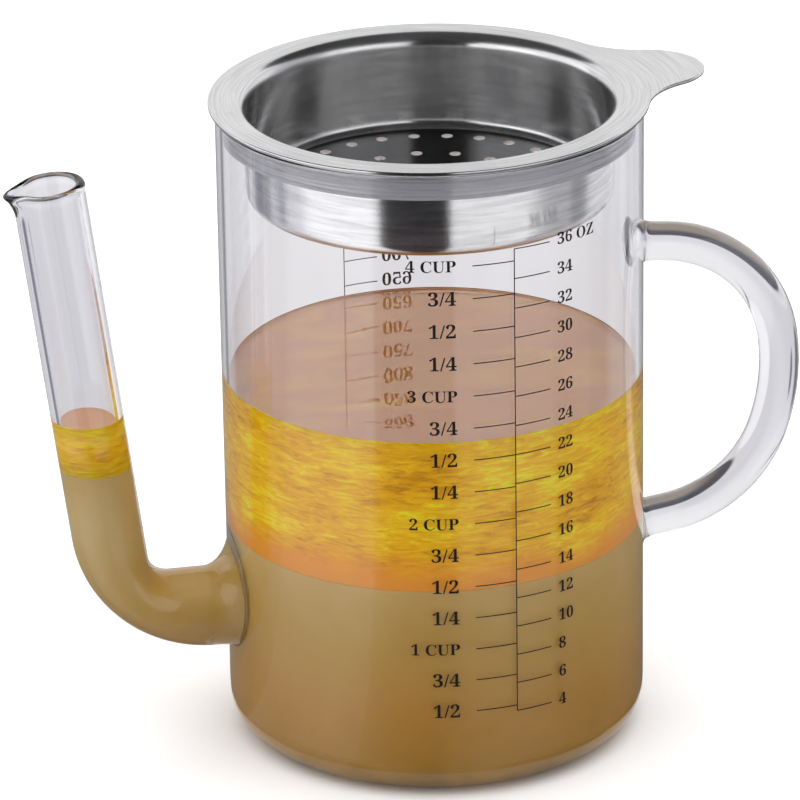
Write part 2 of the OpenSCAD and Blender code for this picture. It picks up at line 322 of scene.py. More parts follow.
def makeFatSurface():
    # the still top of the fat: a glossy film that mirrors the glass behind it, over a base painted pinker
    # than the fat's sides as painted light on the top face
    material, tree, shader = newMaterial("fat_top_painted_light")
    pools = node(tree, "TexNoise", Scale=26.0, Detail=3.0, Distortion=0.8)
    link(tree, objectPoint(tree, (1, 2.2, 1)), pools.inputs["Vector"])
    # painted light: the top face's own pinker tones
    tone = ramp(tree, pools.outputs["Fac"], [
        (0.42, (0.88, 0.35, 0.12)), (0.60, (0.96, 0.42, 0.10)), (0.74, (1.0, 0.56, 0.05)),
    ])
    link(tree, tone, shader.inputs["Base Color"])
    shader.inputs["Roughness"].default_value = 0.02
    shader.inputs["IOR"].default_value = 1.9
    swell = node(tree, "TexNoise", Scale=120.0, Detail=2.0)
    link(tree, objectPoint(tree), swell.inputs["Vector"])
    bump(tree, shader, swell.outputs["Fac"], 0.06, 0.001)
    return material


def makeInk():
    # fired black enamel, a little uneven
    material, tree, shader = newMaterial("black_enamel")
    speck = node(tree, "TexNoise", Scale=2600.0, Detail=2.0)
    link(tree, objectPoint(tree), speck.inputs["Vector"])
    tone = ramp(tree, speck.outputs["Fac"], [(0.3, (0.005, 0.004, 0.004)), (0.8, (0.02, 0.017, 0.016))])
    link(tree, tone, shader.inputs["Base Color"])
    shader.inputs["Specular IOR Level"].default_value = 0.15
    shader.inputs["Roughness"].default_value = 0.45
    return material


blownGlass = makeClearGlass("blown_clear_glass", (1.0, 1.0, 1.0))
drawnGlass = makeClearGlass("drawn_clear_glass", (0.915, 0.915, 0.925))
panSteel = makeBrushedSteel("brushed_steel", (0.78, 0.78, 0.78), 0.20, 0.24)
floorSteel = makePunchedSteel()
silicone = makeSilicone()
gravy = makeGravy()
fat = makeFat()
fatSurface = makeFatSurface()
ink = makeInk()
print("materials made")


def dress(name, *materials):
    mesh = nodes[name].data
    mesh.materials.clear()
    for material in materials:
        mesh.materials.append(material)


dress("seal_ring", silicone)
dress("strainer_floor", floorSteel)
print("frame dressed")


jugSize = {
    "outside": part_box("jug_body")[1].x,
    "wall": 1.6 * mm,
    "base": 2.6 * mm,
    "corner": 7.4 * mm,  # inside radius between base and wall
    "foot": 9.0 * mm,  # the same outside
    "top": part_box("jug_body")[1].z,
    "sunk": 0.12 * mm,  # how far a liquid reaches into the glass, so that no air shows between
}
levels = {
    "gravy": 54.6 * mm,
    "fat": 92.0 * mm,
    "spoutGravy": 73.4 * mm,
    "spoutFat": 86.5 * mm,
    "meniscus": 0.9 * mm,
}
spoutSize = {
    "rootRadius": 9.8 * mm,  # of the glass where it leaves the jug
    "radius": 8.7 * mm,  # of the upright
    "wall": 2.0 * mm,
    "rootHeight": 34.0 * mm,
    "away": jugSize["outside"] + 27.1 * mm,  # from the jug's axis to the upright's, at the root's height
    "outerBend": 34.7 * mm,
    "innerBend": 5.5 * mm,
    "lean": math.radians(7),
    "rimHeight": 146.7 * mm,
    "weldRise": 10.5 * mm,  # the hollow fillet of glass on top of the root
    "weldReach": 6.5 * mm,
    "weldSide": 4.0 * mm,
    "weldLow": 0.7 * mm,
    "lip": 2.53 * mm,  # how far the pouring lip is drawn out
    "lipLength": 7.0 * mm,
    "lipSpread": math.radians(24),
    "lipDrop": 0.5 * mm,
    "pinch": 0.05,  # how far the rim is drawn in on either side of the lip
    "pinchPlace": 0.75,  # radians from the lip, and the reach of the pinch
    "pinchSpread": 0.35,
    "weldThin": 0.15,  # share of the wall left where the weld meets the jug
    "bead": 0.18 * mm,  # how much the melted rim thickens
    "segments": 72,
}


def supported(profile, gap=0.15 * mm):
    # points close to the ends of each long stretch keep the shading of flats and curves apart
    points = [profile[0]]
    for (r0, z0), (r1, z1) in zip(profile, profile[1:]):
        length = math.hypot(r1 - r0, z1 - z0)
        if length > 5 * gap:
            for t in (gap / length, 1 - gap / length):
                points.append((r0 + (r1 - r0) * t, z0 + (z1 - z0) * t))
        points.append((r1, z1))
    return points


def spunSolid(profile, steps=160):
    # profile: (radius, height) pairs from the axis out and back to it
    profile = supported(profile)
    bm = bmesh.new()
    points = [bm.verts.new((r, 0, z)) for r, z in profile]
    edges = [bm.edges.new(pair) for pair in zip(points, points[1:])]
    bmesh.ops.spin(bm, geom=points + edges, cent=(0, 0, 0), axis=upright, dvec=(0, 0, 0),
                   angle=math.tau, steps=steps, use_merge=True, use_duplicate=False)
    bmesh.ops.remove_doubles(bm, verts=bm.verts, dist=1e-6)
    bmesh.ops.recalc_face_normals(bm, faces=bm.faces)
    return bm


def arc(centre, radius, start, end, steps):
    for i in range(steps + 1):
        a = math.radians(start + (end - start) * i / steps)
        yield centre[0] + radius * math.cos(a), centre[1] + radius * math.sin(a)


def sharpen(piece, degrees=35):
    piece.data.set_sharp_from_angle(angle=math.radians(degrees))


def makeJugGlass(jug, spout):
    outside, wall, base = jug["outside"], jug["wall"], jug["base"]
    foot, corner, top = jug["foot"], jug["corner"], jug["top"]
    inside = outside - wall
    profile = [(0, 0), (outside - foot, 0)]
    profile += arc((outside - foot, foot), foot, -90, 0, 14)
    profile += [(outside, top * i / 8) for i in range(1, 8)]
    profile += arc((outside - wall / 2, top - wall / 2), wall / 2, 0, 180, 12)
    profile += [(inside, top * i / 8) for i in range(7, 0, -1)]
    profile += arc((inside - corner, base + corner), corner, 0, -90, 14)
    profile += [(0, base)]
    piece = meshPiece("jug_glass", spunSolid(profile, 192), "jug", [blownGlass])
    cutter = bmesh.new()
    place = Matrix.Translation((-outside, 0, spout["rootHeight"])) @ Matrix.Rotation(math.pi / 2, 4, "Y")
    bore = spout["rootRadius"] - spout["wall"]
    bmesh.ops.create_cone(cutter, cap_ends=True, segments=72, depth=16 * mm, matrix=place,
                          radius1=bore, radius2=bore)
    mesh = bpy.data.meshes.new("cutter")
    cutter.to_mesh(mesh)
    cutter.free()
    drill = addObject("cutter", mesh)
    cut = piece.modifiers.new("hole", "BOOLEAN")
    cut.operation, cut.solver, cut.object = "DIFFERENCE", "EXACT", drill
    graph = bpy.context.evaluated_depsgraph_get()
    piece.data = bpy.data.meshes.new_from_object(piece.evaluated_get(graph))
    piece.modifiers.clear()
    bpy.data.objects.remove(drill)
    sharpen(piece)
    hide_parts("jug_body")
    return piece


strainerSize = {
    "flangeTop": 161.2 * mm,
    "sheet": 0.9 * mm,
    "flange": 52.6 * mm,
    "wall": 44.6 * mm,  # outside radius under the roll
    "roll": 2.4 * mm,
    "lowWall": 44.0 * mm,
    "floorTop": 137.8 * mm,
    "corner": 3.0 * mm,
    "edge": 0.28 * mm,  # rounding of the flange's edge
    "tabReach": 16.7 * mm,
    "tabEnd": 13.0 * mm,
    "tabNeck": 20.0 * mm,
    "tabTurn": math.radians(7.5),
}


def tabOutline(size, turn):
    # distance from the axis to the flange's outline; turn is counted from the tab's middle
    flange, end, neck = size["flange"], size["tabEnd"], size["tabNeck"]
    endX = flange + size["tabReach"] - end
    neckD = flange + neck
    neckX = (neckD ** 2 - (end + neck) ** 2 + endX ** 2) / (2 * endX)
    neckY = math.sqrt(neckD ** 2 - neckX ** 2)
    turn = abs(turn)
    joint = math.atan2(neckY * end / (end + neck), endX + (neckX - endX) * end / (end + neck))
    if turn <= joint:
        return endX * math.cos(turn) + math.sqrt(max(end ** 2 - (endX * math.sin(turn)) ** 2, 0))
    if turn < math.atan2(neckY, neckX):
        along = neckX * math.cos(turn) + neckY * math.sin(turn)
        return along - math.sqrt(max(neck ** 2 - neckD ** 2 + along ** 2, 0))
    return flange


def makeStrainer(size):
    top, sheet = size["flangeTop"], size["sheet"]
    low = top - sheet
    rollX, rollZ = size["wall"] + size["roll"], low - size["roll"]
    floorLow = size["floorTop"] - sheet
    corner, lowX = size["corner"], size["lowWall"]
    ledge, cornerZ = lowX - corner, floorLow + corner
    edge, flange = size["edge"], size["flange"]
    profile = [(ledge, floorLow)]
    profile += arc((ledge, cornerZ), corner, -90, 0, 8)
    for i in range(1, 6):
        profile.append((lowX + (size["wall"] - lowX) * i / 5, cornerZ + (rollZ - cornerZ) * i / 5))
    profile += list(arc((rollX, rollZ), size["roll"], 180, 90, 8))[1:]
    profile += [(rollX + (flange - edge - rollX) * i / 4, low) for i in range(1, 5)]
    profile += list(arc((flange - edge, low + edge), edge, -90, 0, 4))[1:]
    profile += arc((flange - edge, top - edge), edge, 0, 90, 4)
    profile += [(rollX + (flange - edge - rollX) * i / 6, top) for i in range(5, -1, -1)]
    profile += list(arc((rollX, rollZ), size["roll"] + sheet, 90, 180, 12))[1:]
    thin = size["wall"] - sheet, lowX - sheet
    for i in range(1, 6):
        profile.append((thin[0] + (thin[1] - thin[0]) * i / 5, rollZ + (cornerZ - rollZ) * i / 5))
    profile += list(arc((ledge, cornerZ), corner - sheet, 0, -90, 6))[1:]
    bm = bmesh.new()
    profile = supported(profile)
    stations = [Matrix.Translation((0, 0, z)) @ Matrix.Diagonal((r, r, 1, 1)) for r, z in profile]
    rings = loft(bm, stations, 360)
    bmesh.ops.bridge_loops(bm, edges=ringEdges(rings[0]) + ringEdges(rings[-1]))
    for vert in bm.verts:
        flat = vert.co.xy
        share = (flat.length - rollX) / (flange - rollX)
        if share <= 0 or vert.co.z < low - 0.05 * mm:
            continue
        turn = math.atan2(flat.y, flat.x) - size["tabTurn"]
        reach = flat.length + (tabOutline(size, turn) - flange) * share
        vert.co.xy = flat.normalized() * reach
    bmesh.ops.recalc_face_normals(bm, faces=bm.faces)
    piece = meshPiece("strainer_steel", bm, "strainer", [panSteel])
    sharpen(piece, 40)
    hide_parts("strainer_pan")
    return piece


def makeJugGravy(jug, at):
    inside = jug["outside"] - jug["wall"] + jug["sunk"]
    low = jug["base"] - jug["sunk"]
    corner = jug["corner"]
    profile = [(0, low)]
    profile += arc((inside - corner, low + corner), corner, -90, 0, 10)
    profile += [(inside, at["gravy"]), (0, at["gravy"])]
    return meshPiece("jug_gravy", spunSolid(profile), "jug", [gravy])


def makeJugFat(jug, at):
    inside = jug["outside"] - jug["wall"] + jug["sunk"]
    rise = at["meniscus"]
    reach = 2.4 * rise
    profile = [(0, at["gravy"]), (inside, at["gravy"]), (inside, at["fat"] + rise)]
    for i in range(1, 7):  # the film climbs the glass in a hollow curve
        t = 1 - i / 6
        profile.append((inside - reach * (1 - t), at["fat"] + rise * t * t * t))
    profile.append((0, at["fat"]))
    bm = spunSolid(profile)
    for face in bm.faces:
        if face.calc_center_median().z > at["fat"] - 0.1 * mm and face.normal.z > 0.2:
            face.material_index = 1
    return meshPiece("jug_fat", bm, "jug", [fat, fatSurface])


def ringMatrix(inner, outer, halfWidth):
    # places a round of radius 1 so that it spans from one side of a tube to the other
    half = (outer - inner) / 2
    side = Vector((0, halfWidth, 0))
    turned = Matrix((half, side, half.cross(side).normalized())).transposed().to_4x4()
    return Matrix.Translation((inner + outer) / 2) @ turned


def loft(bm, stations, segments):
    # pulls one round through all the stations and returns its rings of vertices
    ring = bmesh.ops.create_circle(bm, segments=segments, radius=1, matrix=stations[0])["verts"]
    rings = [ring]
    edges = list({edge for vert in ring for edge in vert.link_edges})
    for before, after in zip(stations, stations[1:]):
        out = bmesh.ops.extrude_edge_only(bm, edges=edges)["geom"]
        ring = [g for g in out if isinstance(g, bmesh.types.BMVert)]
        edges = [g for g in out if isinstance(g, bmesh.types.BMEdge)]
        bmesh.ops.transform(bm, matrix=after @ before.inverted(), verts=ring)
        rings.append(ring)
    return rings


def ringEdges(ring):
    inRing = set(ring)
    return list({edge for vert in ring for edge in vert.link_edges if edge.other_vert(vert) in inRing})


def spoutSide(size, bend, rootOff, upOff, turn):
    # a point on one side of the spout, after the bend has turned so far
    lean = size["lean"]
    start = size["away"] + (upOff - bend + (bend - rootOff) * math.sin(lean)) / math.cos(lean)
    climb = bend * (1 - math.cos(turn))
    return Vector((-start - bend * math.sin(turn), 0, size["rootHeight"] - rootOff + climb))


def uprightPoint(size, off, height):
    # off: distance from the upright's axis, away from the jug; height: of the axis there
    lean = size["lean"]
    x = size["away"] + (height - size["rootHeight"]) * math.tan(lean) + off * math.cos(lean)
    return Vector((-x, 0, height - off * math.sin(lean)))


def bendStations(size, inset, steps=28):
    # the bend of the spout's outside, or of a surface that lies inset under it
    turn = math.pi / 2 - size["lean"]
    root, up = size["rootRadius"] - inset, size["radius"] - inset
    outer, inner = size["outerBend"] - inset, size["innerBend"] + inset
    for i in range(steps + 1):
        t = turn * i / steps
        width = root + (up - root) * i / steps
        yield ringMatrix(spoutSide(size, inner, -root, -up, t), spoutSide(size, outer, root, up, t), width)


def weldStations(size, jug, inset, steps=8):
    # the root's hollow fillet: wide, high and thin on the jug, drawn in to the tube
    for i in range(steps + 1):
        t = math.pi / 2 * i / steps
        root = size["rootRadius"] - inset * (size["weldThin"] + (1 - size["weldThin"]) * i / steps)
        x = jug["outside"] - 0.5 * mm + size["weldReach"] * (1 - math.cos(t))
        rise = 1 - math.sin(t)
        high = size["rootHeight"] + root + size["weldRise"] * rise
        low = size["rootHeight"] - root - size["weldLow"] * rise
        yield ringMatrix(Vector((-x, 0, high)), Vector((-x, 0, low)), root + size["weldSide"] * rise)


def hugJug(rings, outside):
    # lays the wide end of a weld on the jug's round side, less and less towards the tube
    for i, ring in enumerate(rings):
        share = 1 - i / len(rings)
        for vert in ring:
            vert.co.x += (outside - math.sqrt(outside ** 2 - vert.co.y ** 2)) * share


def uprightStations(size, inset, heights):
    radius = size["radius"] - inset
    for height in heights:
        yield ringMatrix(uprightPoint(size, -radius, height), uprightPoint(size, radius, height), radius)


def drawLip(size, rings):
    # pulls the rim out to a point on the side away from the jug
    axis = uprightPoint(size, 0, size["rimHeight"])
    along = Vector((-math.sin(size["lean"]), 0, math.cos(size["lean"])))
    outward = Vector((-math.cos(size["lean"]), 0, -math.sin(size["lean"])))
    for vert in {vert for ring in rings for vert in ring}:
        away = vert.co - axis
        climb = 1 + away.dot(along) / size["lipLength"]
        if climb <= 0:
            continue
        angle = math.atan2(away.y, away.dot(outward))
        share = climb ** 2 * math.exp(-((angle / size["lipSpread"]) ** 2))
        pinch = climb ** 2 * math.exp(-(((abs(angle) - size["pinchPlace"]) / size["pinchSpread"]) ** 2))
        vert.co += outward * size["lip"] * share - away * size["pinch"] * pinch
        vert.co -= along * size["lipDrop"] * share


def makeSpoutTube(size, jug):
    # one closed skin: outside up to the rim, over it, and down the bore
    bm = bmesh.new()
    rimTop, wall = size["rimHeight"], size["wall"]
    stations = list(weldStations(size, jug, 0))
    weldRings = len(stations)
    stations += list(bendStations(size, 0))[1:]
    foot = 60 * mm
    rise = [foot + (rimTop - 9 * mm - foot) * i / 6 for i in range(7)]
    rise += [rimTop - (8 - i) * mm for i in range(7)]
    stations += uprightStations(size, 0, rise)
    edge = wall / 2 + size["bead"]
    for i in range(11):  # over the melted rim
        t = math.pi * i / 10
        inset = wall / 2 - edge * math.cos(t)
        stations += uprightStations(size, inset, [rimTop - edge + edge * math.sin(t)])
    stations += uprightStations(size, wall, reversed(rise))
    stations += list(bendStations(size, wall))[::-1]
    stations += list(weldStations(size, jug, wall))[::-1]
    rings = loft(bm, stations, size["segments"])
    hugJug(rings[:weldRings], jug["outside"])
    hugJug(rings[:-weldRings - 1:-1], jug["outside"])
    drawLip(size, rings)
    bmesh.ops.bridge_loops(bm, edges=ringEdges(rings[0]) + ringEdges(rings[-1]))
    bmesh.ops.recalc_face_normals(bm, faces=bm.faces)
    piece = meshPiece("spout_glass", bm, "jug", [drawnGlass])
    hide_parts("spout_tube")
    return piece


def makeSpoutLiquid(name, size, jug, low, high, materials):
    # fills the bore between two levels and reaches a little into the glass
    bm = bmesh.new()
    inset = size["wall"] - jug["sunk"]
    stations = list(weldStations(size, jug, inset))
    weldRings = len(stations)
    stations += bendStations(size, inset)
    stations += uprightStations(size, inset, [110 * mm])
    rings = loft(bm, stations, size["segments"])
    hugJug(rings[:weldRings], jug["outside"])
    bmesh.ops.translate(bm, verts=rings[0], vec=(1.8 * mm, 0, 0))  # through the jug's wall
    bmesh.ops.holes_fill(bm, edges=ringEdges(rings[0]) + ringEdges(rings[-1]), sides=0)
    for level, above in ((high, True), (low, False)):
        geom = bm.verts[:] + bm.edges[:] + bm.faces[:]
        cut = bmesh.ops.bisect_plane(bm, geom=geom, dist=1e-7, plane_co=(0, 0, level), plane_no=upright,
                                     clear_outer=above, clear_inner=not above)["geom_cut"]
        edges = [g for g in cut if isinstance(g, bmesh.types.BMEdge)]
        if edges:
            bmesh.ops.holes_fill(bm, edges=edges, sides=0)
    bmesh.ops.recalc_face_normals(bm, faces=bm.faces)
    for face in bm.faces:
        if face.normal.z > 0.95 and face.calc_center_median().z > high - 0.1 * mm:
            face.material_index = len(materials) - 1
    piece = meshPiece(name, bm, "jug", materials)
    for polygon in piece.data.polygons:
        polygon.use_smooth = len(polygon.vertices) <= 4
    return piece


handleSize = {
    "radius": 4.9 * mm,
    "topHeight": 119.6 * mm,
    "topSlope": math.radians(5),
    "lowSlope": math.radians(8),
    "run": 7.1 * mm,
    "bend": 31 * mm,
    "grip": 53 * mm,
    "bendTurn": math.radians(77),
    "gripTurn": math.radians(26.6),
    "weld": 3.2 * mm,
    "flare": 0.4,
    "sunk": 0.5 * mm,  # how far the ends reach into the jug's wall
}


def makeHandle(size, jug):
    # the rod leaves the jug sloping down, turns through three arcs and comes back to it
    def ahead(turned):
        return Vector((math.cos(turned), 0, -math.sin(turned)))

    down = size["topSlope"]
    place = Vector((jug["outside"], 0, size["topHeight"]))
    reaches = [-size["sunk"]] + [size["weld"] * i / 7 for i in range(8)]
    path = [(place + ahead(down) * reach, down) for reach in reaches]
    place = place + ahead(down) * size["run"]
    bend, grip = size["bend"], size["grip"]
    lastTurn = math.pi - size["lowSlope"] - down - size["bendTurn"] - size["gripTurn"]
    for radius, turn in ((bend, size["bendTurn"]), (grip, size["gripTurn"]), (bend, lastTurn)):
        centre = place - Vector((math.sin(down), 0, math.cos(down))) * radius
        steps = max(6, round(math.degrees(turn) / 4))
        for i in range(steps + 1):
            t = down + turn * i / steps
            spot = centre + Vector((math.sin(t), 0, math.cos(t))) * radius
            if (spot - path[-1][0]).length > 0.01 * mm:
                path.append((spot, t))
        down += turn
        place = path[-1][0]
    left = (place.x - jug["outside"]) / -ahead(down).x
    for i in range(7, -1, -1):
        path.append((place + ahead(down) * (left - size["weld"] * i / 7), down))
    path.append((place + ahead(down) * (left + size["sunk"]), down))
    stations = []
    for spot, t in path:
        near = max(0.0, 1 - (spot.x - jug["outside"]) / size["weld"])
        widened = size["weld"] * (1 - math.sqrt(1 - min(near, 1) ** 2))
        radius = size["radius"] + widened * size["flare"]
        side = Vector((math.sin(t), 0, math.cos(t))) * radius
        stations.append(ringMatrix(spot - side, spot + side, radius))
    bm = bmesh.new()
    rings = loft(bm, stations, 64)
    bmesh.ops.holes_fill(bm, edges=ringEdges(rings[0]) + ringEdges(rings[-1]), sides=0)
    bmesh.ops.recalc_face_normals(bm, faces=bm.faces)
    piece = meshPiece("handle_glass", bm, "jug", [drawnGlass])
    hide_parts("handle_rod")
    return piece


makeJugGlass(jugSize, spoutSize)
makeSpoutTube(spoutSize, jugSize)
makeHandle(handleSize, jugSize)
makeStrainer(strainerSize)
print("glass blown")
makeJugGravy(jugSize, levels)
makeJugFat(jugSize, levels)
low, high = levels["spoutGravy"], levels["spoutFat"]
makeSpoutLiquid("spout_gravy", spoutSize, jugSize, 0, low, [gravy])
makeSpoutLiquid("spout_fat", spoutSize, jugSize, low, high, [fat, fatSurface])
print("liquids poured")


scaleSet = {
    "size": 4.1 * mm,  # type size: its figures are 2.9 mm tall
    "partSize": 4.8 * mm,  # type size of the quarters
    "lift": 0.02 * mm,
    "thick": 0.03 * mm,
    "stroke": 0.26 * mm,
    "fourOunces": 21.9 * mm,  # height of the 4 ounce mark
    "twoOunces": 7.4 * mm,  # rise for every 2 ounces
    "line": -79.2,  # places round the jug, in degrees from the handle
    "cupTick": -90.6,
    "cupText": -94.9,
    "ounceTick": -68.7,
    "ounceText": -66.3,
    "backSize": 4.7 * mm,
    "backLine": 104.4,
    "backTick": 94.3,
    "backText": 93.0,
    "ml650": 95 * mm,
    "fiftyMl": 6.5 * mm,
}
ouncesPerCup = 250 / 28.413  # millilitres in a cup and in an ounce


def boldType(words):
    # the bold roman figures and capitals of the mathematical alphabet
    out = ""
    for letter in words:
        if letter.isdigit():
            out += chr(0x1D7CE + int(letter))
        elif letter.isalpha():
            out += chr(0x1D400 + ord(letter) - ord("A"))
        else:
            out += letter
    return out


def addWrapped(bm, flat, angle, height, spec):
    # flat lies in XY, its X along the jug's side: it is wrapped on and joined to bm
    radius = jugSize["outside"] + spec["lift"]
    bmesh.ops.subdivide_edges(flat, edges=[e for e in flat.edges if e.calc_length() > 1.2 * mm], cuts=3)
    turned = math.radians(angle)
    for vert in flat.verts:
        a = turned + vert.co.x / radius
        r = radius + vert.co.z
        vert.co = (r * math.cos(a), r * math.sin(a), height + vert.co.y)
    mesh = bpy.data.meshes.new("wrapped")
    flat.to_mesh(mesh)
    flat.free()
    bm.from_mesh(mesh)
    bpy.data.meshes.remove(mesh)


def flatText(words, size, align, spec):
    curve = bpy.data.curves.new("words", "FONT")
    curve.body = boldType(words)
    curve.size = size
    curve.align_x = align
    curve.align_y = "CENTER"
    curve.resolution_u = 3
    holder = addObject("words", curve)
    bpy.context.view_layer.update()
    mesh = bpy.data.meshes.new_from_object(holder)
    flat = bmesh.new()
    flat.from_mesh(mesh)
    bpy.data.objects.remove(holder)
    bpy.data.meshes.remove(mesh)
    bmesh.ops.remove_doubles(flat, verts=flat.verts, dist=1e-7)
    thicken(flat, spec["thick"])
    return flat


def thicken(flat, thick):
    out = bmesh.ops.extrude_face_region(flat, geom=flat.faces[:])["geom"]
    raised = [g for g in out if isinstance(g, bmesh.types.BMVert)]
    bmesh.ops.translate(flat, verts=raised, vec=(0, 0, thick))
    bmesh.ops.recalc_face_normals(flat, faces=flat.faces)


def flatBar(width, tall, spec):
    flat = bmesh.new()
    across, upward = max(1, round(width / (1 * mm))), max(1, round(tall / (4 * mm)))
    bmesh.ops.create_grid(flat, x_segments=across, y_segments=upward, size=0.5)
    bmesh.ops.scale(flat, verts=flat.verts, vec=(width, tall, 1))
    thicken(flat, spec["thick"])
    return flat


def addBar(bm, start, end, low, high, spec):
    # a printed line between two angles and two heights
    width = max(math.radians(abs(end - start)) * jugSize["outside"], spec["stroke"])
    tall = max(high - low, spec["stroke"])
    addWrapped(bm, flatBar(width, tall, spec), (start + end) / 2, (low + high) / 2, spec)


def makeFrontScale(spec):
    bm = bmesh.new()

    def heightOf(ounces):
        return spec["fourOunces"] + (ounces - 4) / 2 * spec["twoOunces"]

    addBar(bm, spec["line"], spec["line"], heightOf(4), heightOf(36), spec)
    for ounces in range(4, 37, 2):
        addBar(bm, spec["line"], spec["ounceTick"], heightOf(ounces), heightOf(ounces), spec)
        words = "36 OZ" if ounces == 36 else str(ounces)
        flat = flatText(words, spec["size"], "LEFT", spec)
        addWrapped(bm, flat, spec["ounceText"], heightOf(ounces), spec)
    for quarters in range(2, 17):
        height = heightOf(quarters / 4 * ouncesPerCup)
        addBar(bm, spec["cupTick"], spec["line"], height, height, spec)
        whole, part = divmod(quarters, 4)
        words = f"{whole} CUP" if part == 0 else ("1/4", "1/2", "3/4")[part - 1]
        size = spec["size"] if part == 0 else spec["partSize"]
        addWrapped(bm, flatText(words, size, "RIGHT", spec), spec["cupText"], height, spec)
    return meshPiece("front_scale", bm, "jug", [ink], smooth=False)


def makeBackScale(spec):
    bm = bmesh.new()

    def heightOf(ml):
        return spec["ml650"] + (ml - 650) / 50 * spec["fiftyMl"]

    addBar(bm, spec["backLine"], spec["backLine"], heightOf(100), heightOf(900), spec)
    for ml in range(100, 901, 50):
        addBar(bm, spec["backTick"], spec["backLine"], heightOf(ml), heightOf(ml), spec)
        flat = flatText(str(ml), spec["backSize"], "RIGHT", spec)
        addWrapped(bm, flat, spec["backText"], heightOf(ml), spec)
    return meshPiece("back_scale", bm, "jug", [ink], smooth=False)


makeFrontScale(scaleSet)
makeBackScale(scaleSet)
print("scales printed")


studio = {
    "floor": (0.93, 0.93, 0.93),
    # tones of the sky by height, as sine of the angle; below the level they are seen through glass alone
    "heights": [
        (-1.0, (0.80, 0.79, 0.80)), (-0.56, (0.76, 0.75, 0.78)), (-0.38, (0.73, 0.72, 0.77)),
        (-0.20, (0.82, 0.81, 0.87)), (-0.03, (0.86, 0.85, 0.92)), (-0.02, (0.10, 0.10, 0.12)),
        (0.0, (0.10, 0.10, 0.12)), (0.02, (0.97, 0.97, 1.0)), (1.0, (0.97, 0.97, 1.0)),
    ],
    # soft fields, each over the one before: heading and height of the middle, in degrees, then
    # half size, softness and tone; a field without a height runs from top to bottom
    "fields": [
        {"heading": 232, "size": 34, "soft": 8, "tone": (1.35, 1.35, 1.4)},
        {"heading": 138, "size": 32, "soft": 8, "tone": (1.1, 1.1, 1.13)},
        {"heading": 88, "size": 20, "soft": 10, "tone": (0.55, 0.55, 0.58)},
        {"heading": 190, "size": 22, "soft": 2, "tone": (0.015, 0.015, 0.02)},
        {"heading": 0, "height": 16, "size": 34, "soft": 10, "tone": (0.93, 0.93, 0.94)},
        {"heading": 0, "height": 90, "size": 42, "soft": 14, "tone": (2.3, 2.3, 2.3)},
        {"heading": 0, "height": -60, "size": 28, "soft": 1, "tone": (0.085, 0.088, 0.11)},
        {"heading": 0, "height": -68, "size": 25, "soft": 5, "tone": (0.31, 0.265, 0.225)},
        {"heading": 44, "height": -21, "size": 19, "soft": 2, "tone": (1.0, 1.0, 1.05)},
        {"heading": 308, "height": -21, "size": 10, "soft": 3, "tone": (0.20, 0.20, 0.25)},
        {"heading": 280, "height": -21, "size": 12, "soft": 5, "tone": (0.85, 0.85, 0.95)},
        {"heading": 76, "height": -21, "size": 7, "soft": 2, "tone": (0.25, 0.25, 0.28)},
        {"heading": 286, "height": -21, "size": 4, "soft": 1.5, "tone": (0.15, 0.15, 0.2)},
        {"heading": 334, "height": -21, "size": 3, "soft": 1, "tone": (0.25, 0.25, 0.3)},
    ],
    "cardAngles": (-25, 10),  # seen from the part, to either side of the camera
    "cardAway": 0.26,
    "cardTall": 0.50,
    "cardTone": 0.004,
    "canopyHeight": 0.62,
    "canopyRadius": 0.64,
    "canopyTone": 0.008,
    # a bright card on one side, seen only in mirrors: angles as above, distance, low and high edge, tone
    "sideCard": (-118, -26, 0.82, 0.12, 0.50, (1.6, 1.6, 1.6)),
    # radius, height and tone of the shaded spot under the base
    "footShade": (0.046, -0.2 * mm, (0.14, 0.10, 0.045)),
    "floorCardsNear": 0.056,
    "floorCardsLift": 0.4 * mm,
    # dark cards on the floor, seen only in mirrors: angles as above, then the far edge and the tone
    "floorCards": [(-29, 172, 1.2, 0.12), (-80, -29, 1.2, 0.42), (-172, -80, 1.2, 0.22)],
}


def makeFloor(spec):
    bm = bmesh.new()
    bmesh.ops.create_grid(bm, x_segments=1, y_segments=1, size=6)
    mesh = bpy.data.meshes.new("studio_floor")
    bm.to_mesh(mesh)
    bm.free()
    floor = addObject("studio_floor", mesh)
    material, tree, shader = newMaterial("studio_floor")
    shader.inputs["Base Color"].default_value = (*spec["floor"], 1)
    shader.inputs["Roughness"].default_value = 1
    shader.inputs["Specular IOR Level"].default_value = 0
    mesh.materials.append(material)
    floor.visible_transmission = False


